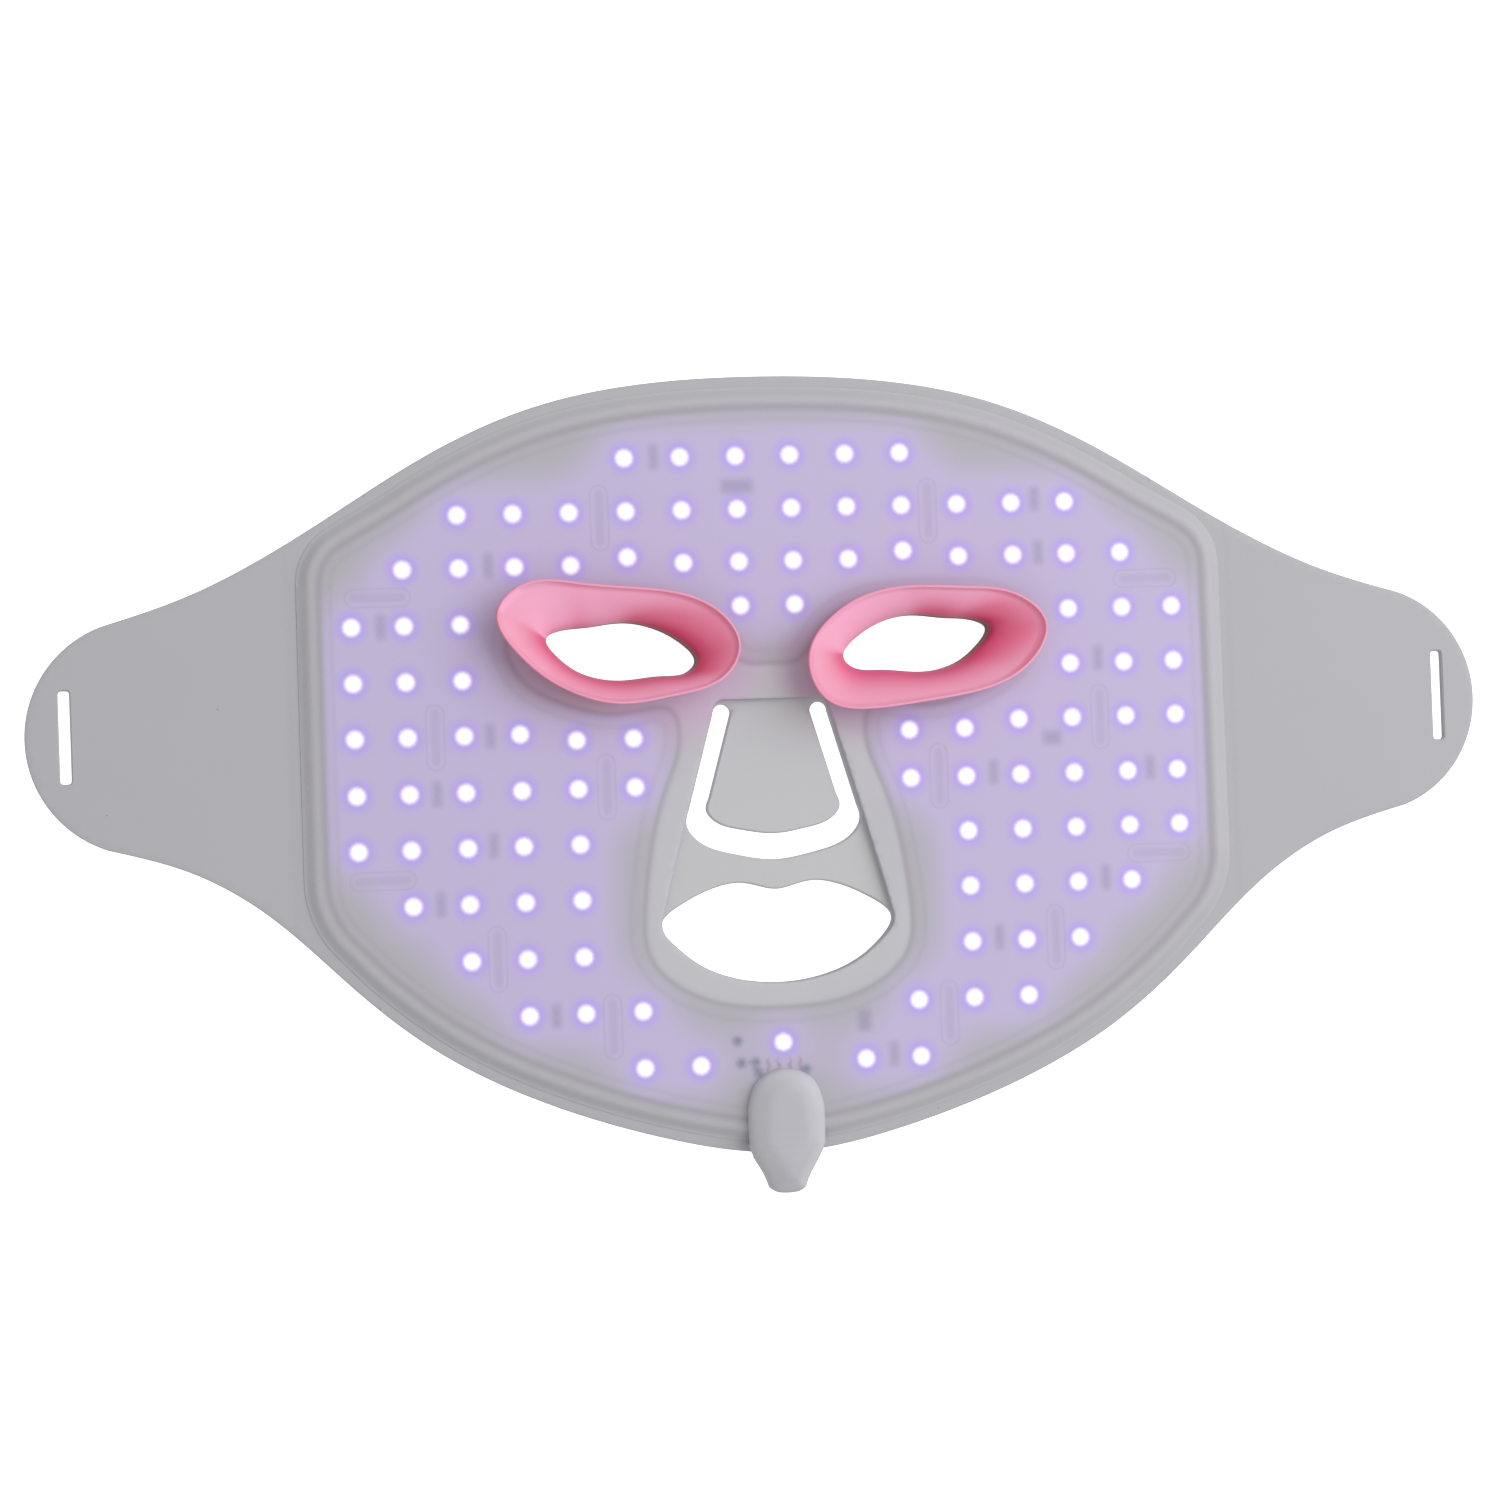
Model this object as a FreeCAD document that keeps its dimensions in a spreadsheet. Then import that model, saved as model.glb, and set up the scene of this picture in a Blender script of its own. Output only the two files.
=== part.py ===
import FreeCAD, Part
import math
import os
from FreeCAD import Vector

# Flexible light therapy face mask, in millimetres.
# It lies flat on its back: +X to the viewer's right, +Y to the forehead, +Z out of the lamp face.
# Left means -X. The origin is the centre of the outline on the face that the mask rests on.

doc = FreeCAD.newDocument("light_mask")

SIZES = {
    "sheet_thick": 2.0,      # back sheet, wings and nose flap
    "board_top": 2.3,        # flexible circuit board lies on the back sheet
    "lamp_top": 3.1,
    "pocket_top": 3.3,       # roof of the board's pocket inside the cover
    "cover_top": 4.2,
    "cover_round": 1.4,
    "flange": 2.8,           # sheet edge to cover edge
    "pocket_margin": 5.6,    # cover edge to pocket
    "board_margin": 0.6,     # pocket to board
    "island_margin": 3.5,    # bonded centre to board
    "lamp_wide": 2.8,
    "lamp_long": 3.5,
    "wing_tip_radius": 30.0,
    "wing_tip_x": 160.0,
    "wing_tip_y": 17.0,
    "strap_slot_x": 180.0,
    "strap_slot_y": 17.5,
    "strap_slot_wide": 2.8,
    "strap_slot_long": 23.5,
    "side_fold": 83.6,
    "side_gap": 0.3,
    "wing_fold": 122.5,
    "fold_gap": 1.0,
    "flap_fold": 20.8,
    "flap_gap": 1.6,
    "relief_wide": 3.2,
    "relief_long": 15.0,
    "cup_foot": 0.3,
    "cup_rim": 14.0,
    "cup_wall": 1.6,
    "cup_gap": 0.3,
    "cup_collar": 2.4,
    "cup_collar_thick": 1.2,
    "boot_foot": 0.3,
    "boot_top": 9.6,
    "boot_round": 1.0,
    "boot_tip": 105.6,
    "boot_peak": 73.4,
    "cord_height": 4.8,
    "cord_radius": 2.0,
    "core_radius": 3.4,
    "core_front": 95.6,
    "core_back": 100.0,
    "wire_room_tall": 1.8,
    "wire_radius": 0.4,
    "wire_height": 2.75,
    "pad_top": 2.35,
}

# Outline points of the right half. The left half mirrors them.
BROW_EDGE = [(0, 105.6), (30, 104.2), (60, 98.3), (90, 85.0), (110, 72.9), (130, 61.1), (150, 51.7)]
CHIN_EDGE = [(0, -95.2), (30, -90.5), (60, -80.5), (90, -64.7), (110, -48.2), (130, -29.6), (150, -17.5)]
MOUTH = [(0, -27.3), (4.5, -26.4), (9.5, -25.4), (16, -26.4), (25, -30.5), (30.2, -35.6),
         (27.5, -40.5), (20, -46.5), (10, -50.2), (0, -51.3)]
LIP = [(30.3, -34.6), (30.2, -36.6), (27.5, -40.5), (20, -46.5), (10, -50.2), (0, -51.3)]
ISLAND = [(0, 31), (7, 31.5), (13, 40), (22, 49.5), (35, 53), (50, 53), (64, 50.5), (71.5, 42),
          (66, 31), (52, 21.6), (38, 19.4), (26, 19.4), (24.3, 12), (28, 0), (34.5, -30),
          (33.5, -44), (24, -53), (0, -57.7)]
EYE = [(19.3, 31.6), (22.8, 37.0), (29.0, 40.6), (37.5, 42.5), (47.0, 41.6), (54.8, 40.7),
       (57.8, 39.0), (55.3, 34.3), (49.0, 29.7), (39.0, 27.7), (29.0, 28.5), (20.6, 30.0)]
# The soft rims don't lie quite alike, so each cup has its own, both listed as right halves.
CUP_RIMS = {
    "left": [(8.9, 35.5), (13.6, 44.1), (22, 48.8), (36.2, 51.2), (50, 52.7), (64.5, 52.6),
             (71.3, 45.5), (66.5, 35), (55, 25.7), (41, 21.4), (26.3, 23), (12.5, 28)],
    "right": [(8.5, 32.5), (14, 41.6), (24, 47.6), (36, 49.7), (50, 49.2), (63.5, 47.1),
              (71.6, 39), (67.5, 29.5), (54.5, 22.3), (40.5, 19.9), (25, 18.2), (13, 20.6)],
}
# The flare of a cup opens like a trumpet: its share of the width at a share of the height.
FLARE_WIDTH, FLARE_HEIGHT = 0.31, 0.63

# The nose slot's outer side and the flap's edge: right halves of their low stretches.
NOSE_CORNER = 2.2
SLOT_FOOT = [(22.0, -6.0), (22.8, -9.6), (20.9, -13.2), (10.4, -17.9), (0, -19.5)]
FLAP_FOOT = [(16.7, -3.2), (17.5, -6.2), (15.8, -8.9), (8.5, -11.7), (0, -12.9)]

# Corners of the cover where its long edges meet its straight ends: centre, radius, last angle.
BROW_CORNER = (104, 54, 17, 60)
CHIN_CORNER = (93.3, -21, 28, -47)
EDGE_POINTS_ON_COVER = 4

# Lamp columns from the centre outwards: column x, then the heights of its lamps.
LAMP_COLUMNS = [
    (7.1, [84.8, 71.1, 57.5, 46.1]),
    (21.6, [84.8, 71.1, 57.5, -71.9]),
    (36.1, [84.8, 71.1, 59.3, 12.7, 0.2, -57.3, -71.9]),
    (50.8, [71.1, 57.5, 12.7, 0.2, -14.0, -28.3, -42.8, -57.3]),
    (65.3, [71.1, 57.5, 14.65, 0.2, -14.0, -28.3, -42.8, -57.3]),
    (79.6, [71.1, 57.5, 43.1, 28.8, 14.65, 0.2, -14.0, -28.3, -42.8]),
    (94.0, [57.5, 43.1, 28.8, 14.65, 0.2, -14.0, -28.3]),
    (107.4, [43.1, 28.8, 14.65, 0.2, -14.0]),
]
CENTRE_LAMP = (0, -66.7)

# Relief slots in the board, right half: centre x, centre y, True where the slot is upright.
RELIEF_SLOTS = [(43, 69.5, True), (87, 14.5, True), (43.5, 0.5, True), (73, -42.5, True),
                (44, -61, True), (100.5, 50.5, False), (101.5, -21.5, False)]

LEFT_RESISTORS = [(-28.5, 85), (-72, 58), (-73, 14.5), (-73, -13.5), (-58.5, -57.5)]
LEFT_SIDE_RESISTORS = [(-100, 43), (-87, 0), (-87, -28)]
RIGHT_RESISTORS = [(71.5, 72), (72, 58), (58, 1), (58, -42), (29, -71)]
RIGHT_SIDE_RESISTORS = [(87, 30), (100, 1), (87, -27.5)]
RESISTOR = (1.6, 3.2, 0.55)

WIRES = {"ground_wire": -1.5, "red_light_wire": -0.5, "near_infrared_wire": 0.5, "sense_wire": 1.5}
WIRE_END = -72.6
# Where a wire starts to drop through the port, where it is down again, and its bends' length.
WIRE_DROP, WIRE_FLOOR, WIRE_BEND = -86.6, -80.4, 0.9

# Boxes in plan: centre x, centre y, width across and length along the mask.
WIRE_PORT = (0, -83.2, 5.2, 7.0)
WIRE_ROOM = (0, -87.7, 5.2, 16.0)
BOOT_STEP = (0, -94.4, 20, 2.8)

# Right half of the cord boot: where its head widens to its sides, and how its tail narrows.
BOOT_CROWN, BOOT_SHOULDER = (8.2, -77.6), (10, -83)
BOOT_WAIST, BOOT_TAPER, BOOT_END = (10, -95.8), (6.2, -101), (4.6, -104.1)

# The cutting blocks of the panels reach this far past the mask, up, down and along.
PANEL_REACH = 130


def make_sheet():
    sheet = doc.addObject("Spreadsheet::Sheet", "sizes")
    for row, (alias, value) in enumerate(SIZES.items(), 1):
        sheet.set(f"A{row}", alias)
        sheet.set(f"B{row}", str(value))
        sheet.setAlias(f"B{row}", alias)
    doc.recompute()
    return sheet


sizes = make_sheet()


def size(alias):
    return float(getattr(sizes, alias))


def bind(item, **formulas):
    """Bind properties to formulas in the sheet's words; a double underscore stands for a dot."""
    for name, formula in formulas.items():
        words = [f"sizes.{word}" if word in SIZES else word for word in formula.split()]
        item.setExpression(name.replace("__", "."), " ".join(words))


def point(x, y):
    return Vector(x, y, 0)


def line(start, end):
    return Part.LineSegment(point(*start), point(*end))


def arc(start, middle, end):
    return Part.Arc(point(*start), point(*middle), point(*end))


def flip(points):
    return [(-x, y) for x, y in points]


def both_halves(points):
    """Right-half points, listed from x = 0 outwards, as one row from left to right."""
    return flip(points[:0:-1]) + points


def ring(points):
    """Right-half points from the top centre to the bottom centre, as one closed round."""
    return points + flip(points[-2:0:-1])


def curve(points):
    spline = Part.BSplineCurve()
    spline.interpolate(Points=[point(*each) for each in points])
    return spline


def closed_curve(points):
    spline = Part.BSplineCurve()
    spline.interpolate(Points=[point(*each) for each in points], PeriodicFlag=True)
    return spline


def shifted(spline, points, distance):
    """Points moved along the curve's normal, to the left of its direction."""
    moved = []
    for x, y in points:
        tangent = spline.tangent(spline.parameter(point(x, y)))[0]
        moved.append((x - tangent.y * distance, y + tangent.x * distance))
    return moved


def grown(points, distance):
    """A clockwise round of points moved outwards."""
    return shifted(closed_curve(points), points, distance)


def between(low, high, share):
    """Points a share of the way from each point of one round to its fellow on another."""
    return [(x + (u - x) * share, y + (v - y) * share) for (x, y), (u, v) in zip(low, high)]


def sheet_outline():
    """The whole mask with both wings, clockwise from the left wing's upper root."""
    tip_x, tip_y, radius = size("wing_tip_x"), size("wing_tip_y"), size("wing_tip_radius")
    reach = radius / 3
    rise = math.sqrt(radius ** 2 - reach ** 2)
    upper = (tip_x + reach, tip_y + rise)
    lower = (tip_x + reach, tip_y - rise)
    tip = (tip_x + radius, tip_y)
    brow = curve(both_halves(BROW_EDGE + [upper]))
    chin = curve(both_halves(CHIN_EDGE + [lower]))
    return [brow, arc(upper, tip, lower), chin, arc(*flip([upper, tip, lower]))]


def corner_points(corner, inset):
    x, y, radius, angle = corner
    reach = radius - inset
    turns = [math.radians(share * angle) for share in (0, 0.5, 1)]
    return [(x + reach * math.cos(turn), y + reach * math.sin(turn)) for turn in turns]


def long_edge(edge, inwards, corner_end):
    """A long edge of the cover: the sheet's edge, moved inwards, up to the corner's arc."""
    inner = shifted(curve(both_halves(edge)), edge[:EDGE_POINTS_ON_COVER], inwards)
    return curve(both_halves(inner + [corner_end]))


def cover_outline(inset):
    """The cover's outline, moved inwards by inset."""
    upper = corner_points(BROW_CORNER, inset)
    lower = corner_points(CHIN_CORNER, inset)
    total = size("flange") + inset
    return [
        long_edge(BROW_EDGE, -total, upper[-1]),
        arc(*upper[::-1]),
        line(upper[0], lower[0]),
        arc(*lower),
        long_edge(CHIN_EDGE, total, lower[-1]),
        arc(*flip(lower)),
        line(*flip([lower[0], upper[0]])),
        arc(*flip(upper)),
    ]


def eye_outline(side, growth):
    return closed_curve([(side * x, y) for x, y in grown(EYE, growth)])


def eye_holes():
    growth = size("cup_wall") + size("cup_gap")
    return [eye_outline(-1, growth), eye_outline(1, growth)]


def nose_outline(top, corner, low):
    """A U that hangs from a straight top: its upper corner, then the points of its low side."""
    round_corner = (corner[0] - NOSE_CORNER * 0.25, top - NOSE_CORNER * 0.25)
    start = (corner[0] - NOSE_CORNER, top)
    return [
        line(flip([start])[0], start),
        arc(start, round_corner, corner),
        line(corner, low[0]),
        curve(low + flip(low[-2::-1])),
        line(*flip([low[0], corner])),
        arc(*flip([corner, round_corner, start])),
    ]


def nose_hole():
    top = size("flap_fold") + size("flap_gap") / 2
    return nose_outline(top, (15.0, 18.5), SLOT_FOOT)


def flap_outline():
    top = size("flap_fold") - size("flap_gap") / 2
    return nose_outline(top, (10.4, 18.2), FLAP_FOOT)


def lip_hole():
    """The cover stops here, so that one thin sheet carries the nose flap and the lip bridge."""
    top = size("flap_fold") + size("flap_gap") / 2 + 0.4
    corner = (15.6, top - 3)
    start = (corner[0] - 3, top)
    middle = (corner[0] - 0.8, top - 0.9)
    lip = curve(LIP + flip(LIP[-2::-1]))
    return [
        line(flip([start])[0], start),
        arc(start, middle, corner),
        line(corner, LIP[0]),
        lip,
        line(*flip([LIP[0], corner])),
        arc(*flip([corner, middle, start])),
    ]


def box_outline(x, y, wide, tall):
    ends = [(x - wide / 2, y - tall / 2), (x + wide / 2, y - tall / 2),
            (x + wide / 2, y + tall / 2), (x - wide / 2, y + tall / 2)]
    return [line(ends[i], ends[(i + 1) % 4]) for i in range(4)]


def strap_slots():
    place = (size("strap_slot_y"), size("strap_slot_wide"), size("strap_slot_long"))
    return box_outline(-size("strap_slot_x"), *place) + box_outline(size("strap_slot_x"), *place)


def stadium(x, y, wide, tall):
    """A slot outline with round ends, upright when tall is the larger."""
    upright = tall > wide
    radius = min(wide, tall) / 2
    reach = max(wide, tall) / 2 - radius

    def place(along, across):
        return (x + across, y + along) if upright else (x + along, y + across)

    return [
        line(place(-reach, radius), place(reach, radius)),
        arc(place(reach, radius), place(reach + radius, 0), place(reach, -radius)),
        line(place(reach, -radius), place(-reach, -radius)),
        arc(place(-reach, -radius), place(-reach - radius, 0), place(-reach, radius)),
    ]


def plane_of(body, role):
    return [each for each in body.Origin.OriginFeatures if each.Role == role][0]


def new_body(label):
    body = doc.addObject("PartDesign::Body", label)
    body.Label = label
    return body


def draw(body, name, curves, height="", role="XY_Plane"):
    sketch = body.newObject("Sketcher::SketchObject", name)
    sketch.AttachmentSupport = (plane_of(body, role), [""])
    sketch.MapMode = "FlatFace"
    if height:
        bind(sketch, AttachmentOffset__Base__z=height)
    sketch.addGeometry(curves, False)
    sketch.Visibility = False
    return sketch


def pad(body, name, sketch, length, midplane=False):
    feature = body.newObject("PartDesign::Pad", name)
    feature.Profile = sketch
    feature.Midplane = midplane
    bind(feature, Length=length)
    doc.recompute()
    return feature


def pocket_up(body, name, sketch, depth):
    """Cut from the sketch towards +Z, and make sure that it did cut."""
    before = body.Shape.copy()
    feature = body.newObject("PartDesign::Pocket", name)
    feature.Profile = sketch
    feature.Reversed = True
    bind(feature, Length=depth)
    doc.recompute()
    if before.common(feature.AddSubShape).Volume < 0.01:
        raise RuntimeError(f"{name} cuts nothing")
    return feature


def outer_edges(shape, height):
    """Names of the edges round the outside of the large flat face at this height."""
    flats = [face for face in shape.Faces if abs(face.BoundBox.ZMin - height) < 1e-4
             and face.BoundBox.ZLength < 1e-4]
    rim = max(flats, key=lambda face: face.Area).OuterWire
    return [f"Edge{number}" for number, edge in enumerate(shape.Edges, 1)
            if any(edge.isSame(other) for other in rim.Edges)]


def fillet(body, name, base, edges, radius):
    feature = body.newObject("PartDesign::Fillet", name)
    feature.Base = (base, edges)
    bind(feature, Radius=radius)
    doc.recompute()
    return feature


def loft(body, kind, name, sketches):
    feature = body.newObject(f"PartDesign::{kind}", name)
    feature.Profile = sketches[0]
    feature.Sections = sketches[1:]
    doc.recompute()
    return feature


def make_sheet_blank():
    body = new_body("sheet_blank")
    curves = sheet_outline() + eye_holes() + nose_hole() + [closed_curve(ring(MOUTH))] + strap_slots()
    pad(body, "sheet_pad", draw(body, "sheet_sketch", curves), "sheet_thick")
    return body


def make_cover_blank():
    body = new_body("cover_blank")
    outline = draw(body, "cover_sketch", cover_outline(0) + eye_holes() + lip_hole(), "sheet_thick")
    block = pad(body, "cover_pad", outline, "cover_top - sheet_thick")
    rim = outer_edges(block.Shape, size("cover_top"))
    fillet(body, "cover_edge", block, rim, "cover_round")
    room = cover_outline(size("pocket_margin")) + [closed_curve(ring(ISLAND))]
    pocket = draw(body, "pocket_sketch", room, "sheet_thick")
    pocket_up(body, "board_pocket", pocket, "pocket_top - sheet_thick")
    port = draw(body, "port_sketch", box_outline(*WIRE_PORT), "pocket_top")
    pocket_up(body, "wire_port", port, "cover_top - pocket_top")
    return body


def make_board_blank():
    body = new_body("board_blank")
    inset = size("pocket_margin") + size("board_margin")
    centre = closed_curve(grown(ring(ISLAND), size("island_margin")))
    plan = draw(body, "board_sketch", cover_outline(inset) + [centre], "sheet_thick")
    pad(body, "board_pad", plan, "board_top - sheet_thick")
    wide, tall = size("relief_wide"), size("relief_long")
    slots = []
    for x, y, upright in RELIEF_SLOTS:
        width, height = (wide, tall) if upright else (tall, wide)
        slots += stadium(x, y, width, height) + stadium(-x, y, width, height)
    pocket_up(body, "relief_slots", draw(body, "relief_sketch", slots, "sheet_thick"),
              "board_top - sheet_thick")
    return body


def panel(label, blank, left, right):
    """The stretch of a blank between two upright planes, given as formulas."""
    block = doc.addObject("Part::Box", f"{label}_block")
    block.Width = 2 * PANEL_REACH
    block.Height = 2 * PANEL_REACH
    block.Placement.Base.y = -PANEL_REACH
    block.Placement.Base.z = -PANEL_REACH
    bind(block, Length=f"( {right} ) - ( {left} )", Placement__Base__x=left)
    stretch = doc.addObject("Part::Common", label)
    stretch.Label = label
    stretch.Base = blank
    stretch.Tool = block
    stretch.Refine = True
    return stretch


def make_panels(blanks):
    """Each sheet in three stretches, which meet at the two folds beside the eyes."""
    inner = "side_fold - side_gap / 2"
    outer = "side_fold + side_gap / 2"
    root = "wing_fold - fold_gap / 2"
    free = "wing_fold + fold_gap / 2"
    end = "wing_tip_x + wing_tip_radius + 1"
    made = []
    for name, blank in blanks.items():
        made.append(panel(name, blank, f"0 - ( {inner} )", inner))
        made.append(panel(f"left_{name}", blank, f"0 - ( {root} )", f"0 - ( {outer} )"))
        made.append(panel(f"right_{name}", blank, outer, root))
    sheet_blank = blanks["back_sheet"]
    made.append(panel("left_wing", sheet_blank, f"0 - ( {end} )", f"0 - ( {free} )"))
    made.append(panel("right_wing", sheet_blank, free, end))
    return made


def make_flap():
    body = new_body("nose_flap")
    pad(body, "flap_pad", draw(body, "flap_sketch", flap_outline()), "sheet_thick")
    return body


def chips(label, places, wide, tall, low, high):
    """A group of equal flat blocks, each centred on its place."""
    blocks = []
    for number, (x, y) in enumerate(places, 1):
        block = doc.addObject("Part::Box", f"{label}_{number}")
        bind(block, Length=wide, Width=tall, Height=f"{high} - {low}",
             Placement__Base__x=f"{x} - ( {wide} ) / 2",
             Placement__Base__y=f"{y} - ( {tall} ) / 2",
             Placement__Base__z=low)
        blocks.append(block)
    group = doc.addObject("Part::Compound", label)
    group.Label = label
    group.Links = blocks
    return group


def make_lamps():
    made = []
    for number, (x, heights) in enumerate(LAMP_COLUMNS, 1):
        for side, word in ((-1, "left"), (1, "right")):
            places = [(side * x, y) for y in heights]
            made.append(chips(f"{word}_lamps_{number}", places, "lamp_wide", "lamp_long",
                              "board_top", "lamp_top"))
    made.append(chips("chin_lamp", [CENTRE_LAMP], "lamp_wide", "lamp_long", "board_top", "lamp_top"))
    return made


def make_board_parts():
    wide, tall, thick = RESISTOR
    rows = {
        "left_resistors": LEFT_RESISTORS,
        "left_side_resistors": LEFT_SIDE_RESISTORS,
        "right_resistors": RIGHT_RESISTORS,
        "right_side_resistors": RIGHT_SIDE_RESISTORS,
    }
    made = [chips(label, places, str(wide), str(tall), "board_top", f"board_top + {thick}")
            for label, places in rows.items()]
    made.append(chips("forehead_chip", [(-7, 77)], "7.6", "2.8", "board_top", "board_top + 0.8"))
    made.append(chips("driver_chip", [(74, 9.5)], "4.6", "2.8", "board_top", "board_top + 0.8"))
    made.append(chips("chin_diode", [(21.5, -62)], "2.2", "4.4", "board_top", "board_top + 0.7"))
    pads = [(x, WIRE_END + 0.4) for x in WIRES.values()]
    made.append(chips("solder_pads", pads, "0.8", "2.6", "board_top", "pad_top"))
    return made


def boot_tail():
    """The tapered end of the boot, from its right waist round the tip to its left waist."""
    tip = -size("boot_tip")
    corner = [BOOT_END, (4.1, tip + 0.4), (3.0, tip)]
    return [
        curve([BOOT_WAIST, BOOT_TAPER, BOOT_END]),
        arc(*corner),
        line(corner[-1], flip(corner)[-1]),
        arc(*flip(corner[::-1])),
        curve(flip([BOOT_END, BOOT_TAPER, BOOT_WAIST])),
    ]


def boot_outline():
    """Plan of the boot: round head, straight sides, tapered tail."""
    crown = curve(both_halves([(0, -size("boot_peak")), BOOT_CROWN, BOOT_SHOULDER]))
    left_side = line(*flip([BOOT_WAIST, BOOT_SHOULDER]))
    return [crown, line(BOOT_SHOULDER, BOOT_WAIST)] + boot_tail() + [left_side]


def boot_tail_outline():
    """The part of the boot that reaches down past the edge of the sheets."""
    return [line(flip([BOOT_WAIST])[0], BOOT_WAIST)] + boot_tail()


def tube_block(label, radius, start, end):
    """A round bar along Y at the cord's height, from y = -end to y = -start."""
    bar = doc.addObject("Part::Cylinder", label)
    bar.Placement = FreeCAD.Placement(Vector(0, 0, 0), FreeCAD.Rotation(Vector(1, 0, 0), 90))
    bind(bar, Radius=radius, Height=f"{end} - {start}", Placement__Base__z="cord_height",
         Placement__Base__y=f"0 - {start}")
    return bar


def subtract(label, base, tool):
    cut = doc.addObject("Part::Cut", label)
    cut.Label = label
    cut.Base = base
    cut.Tool = tool
    return cut


def make_boot():
    body = new_body("boot_body")
    head = pad(body, "boot_head", draw(body, "boot_sketch", boot_outline(), "cover_top"),
               "boot_top - cover_top")
    rim = outer_edges(head.Shape, size("boot_top"))
    fillet(body, "boot_edge", head, rim, "boot_round")
    step = box_outline(*BOOT_STEP)
    pad(body, "boot_step", draw(body, "step_sketch", step, "sheet_thick"), "cover_top - sheet_thick")
    pad(body, "boot_tail", draw(body, "tail_sketch", boot_tail_outline(), "boot_foot"),
        "cover_top - boot_foot")
    room = draw(body, "room_sketch", box_outline(*WIRE_ROOM), "cover_top")
    pocket_up(body, "wire_room", room, "wire_room_tall")
    bore = tube_block("cord_bore", "cord_radius", "core_front", "boot_tip + 1")
    seat = tube_block("core_seat", "core_radius", "core_front", "core_back")
    boot = subtract("cord_boot", subtract("boot_bored", body, bore), seat)
    core = subtract("cord_clamp_ring", tube_block("core_bar", "core_radius", "core_front", "core_back"),
                    tube_block("core_hole", "cord_radius", "core_front - 1", "core_back + 1"))
    return [boot, core]


def make_wire(label, x):
    """One lead: level out of the clamp ring, down through the port, level to its pad."""
    body = new_body(label)
    high, low = size("cord_height"), size("wire_height")
    start, drop, floor, bend = -size("core_front"), WIRE_DROP, WIRE_FLOOR, WIRE_BEND
    slope = math.atan2(high - low, floor - drop)
    lean = (bend * math.cos(slope), -bend * math.sin(slope))
    lift = bend * math.tan(slope / 2) / 2
    path = [
        line((start, high), (drop - bend, high)),
        arc((drop - bend, high), (drop, high - lift / 2), (drop + lean[0], high + lean[1])),
        line((drop + lean[0], high + lean[1]), (floor - lean[0], low - lean[1])),
        arc((floor - lean[0], low - lean[1]), (floor, low + lift / 2), (floor + bend, low)),
        line((floor + bend, low), (WIRE_END, low)),
    ]
    route = draw(body, f"{label}_route", path, str(x), "YZ_Plane")
    round_end = [Part.Circle(point(x, high), Vector(0, 0, 1), size("wire_radius"))]
    section = draw(body, f"{label}_section", round_end, "core_front", "XZ_Plane")
    pipe = body.newObject("PartDesign::AdditivePipe", f"{label}_pipe")
    pipe.Profile = section
    pipe.Spine = route
    doc.recompute()
    return body


def make_cup(side, word):
    """A soft cup: a sleeve through the sheets, a collar on the cover and a funnel up to the rim."""
    label = f"{word}_eye_cup"
    body = new_body(label)
    wall = size("cup_wall")
    rim = CUP_RIMS[word]
    base = "cover_top + cup_gap"
    middle = f"( {base} ) * {1 - FLARE_HEIGHT} + cup_rim * {FLARE_HEIGHT}"

    def outline(points, growth):
        return [closed_curve([(side * x, y) for x, y in grown(points, growth)])]

    def flare(name, low, high):
        """Sketches of one side of the funnel's wall, from its foot to its rim."""
        waist = between(low, high, FLARE_WIDTH)
        rows = [("foot", low, base), ("waist", waist, middle), ("rim", high, "cup_rim")]
        return [draw(body, f"{label}_{name}_{row}", outline(points, 0), level)
                for row, points, level in rows]

    sleeve = draw(body, f"{label}_sleeve", outline(EYE, wall), "cup_foot")
    pad(body, f"{label}_throat", sleeve, f"{base} - cup_foot")
    ledge = draw(body, f"{label}_ledge", outline(EYE, wall + size("cup_collar")), base)
    pad(body, f"{label}_collar", ledge, "cup_collar_thick")
    loft(body, "AdditiveLoft", f"{label}_flare", flare("outer", grown(EYE, wall), rim))
    opening = draw(body, f"{label}_opening", outline(EYE, 0), "cup_foot")
    pocket_up(body, f"{label}_hole", opening, f"{base} - cup_foot")
    loft(body, "SubtractiveLoft", f"{label}_funnel", flare("inner", EYE, grown(rim, -wall)))
    return body


def check_all():
    doc.recompute()
    bad = [each.Name for each in doc.Objects if {"Invalid", "Error"} & set(each.State)]
    if bad:
        raise RuntimeError("failed: " + ", ".join(bad))


def export(parts):
    os.makedirs("parts", exist_ok=True)
    for part in parts:
        shape = part.Shape
        if shape.isNull() or not shape.isValid() or not shape.Solids:
            raise RuntimeError(f"{part.Label} has no valid solid")
        print(f"{part.Label:24s} solids {len(shape.Solids):2d}  volume {shape.Volume:10.2f}")
    for part in parts:
        part.Shape.exportStep(f"parts/{part.Label}.step")


def main():
    blanks = {"back_sheet": make_sheet_blank(), "face_cover": make_cover_blank(),
              "flex_board": make_board_blank()}
    parts = make_panels(blanks)
    parts.append(make_flap())
    parts += make_lamps()
    parts += make_board_parts()
    parts += make_boot()
    parts += [make_wire(label, x) for label, x in WIRES.items()]
    parts += [make_cup(-1, "left"), make_cup(1, "right")]
    check_all()
    export(parts)


main()
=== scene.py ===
"""Looks of the light therapy face mask: silicone skins, lamps that shine through, soft eye cups."""

import math

import bpy
import numpy as np
from mathutils import Matrix, Vector
from mathutils.geometry import delaunay_2d_cdt


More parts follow.
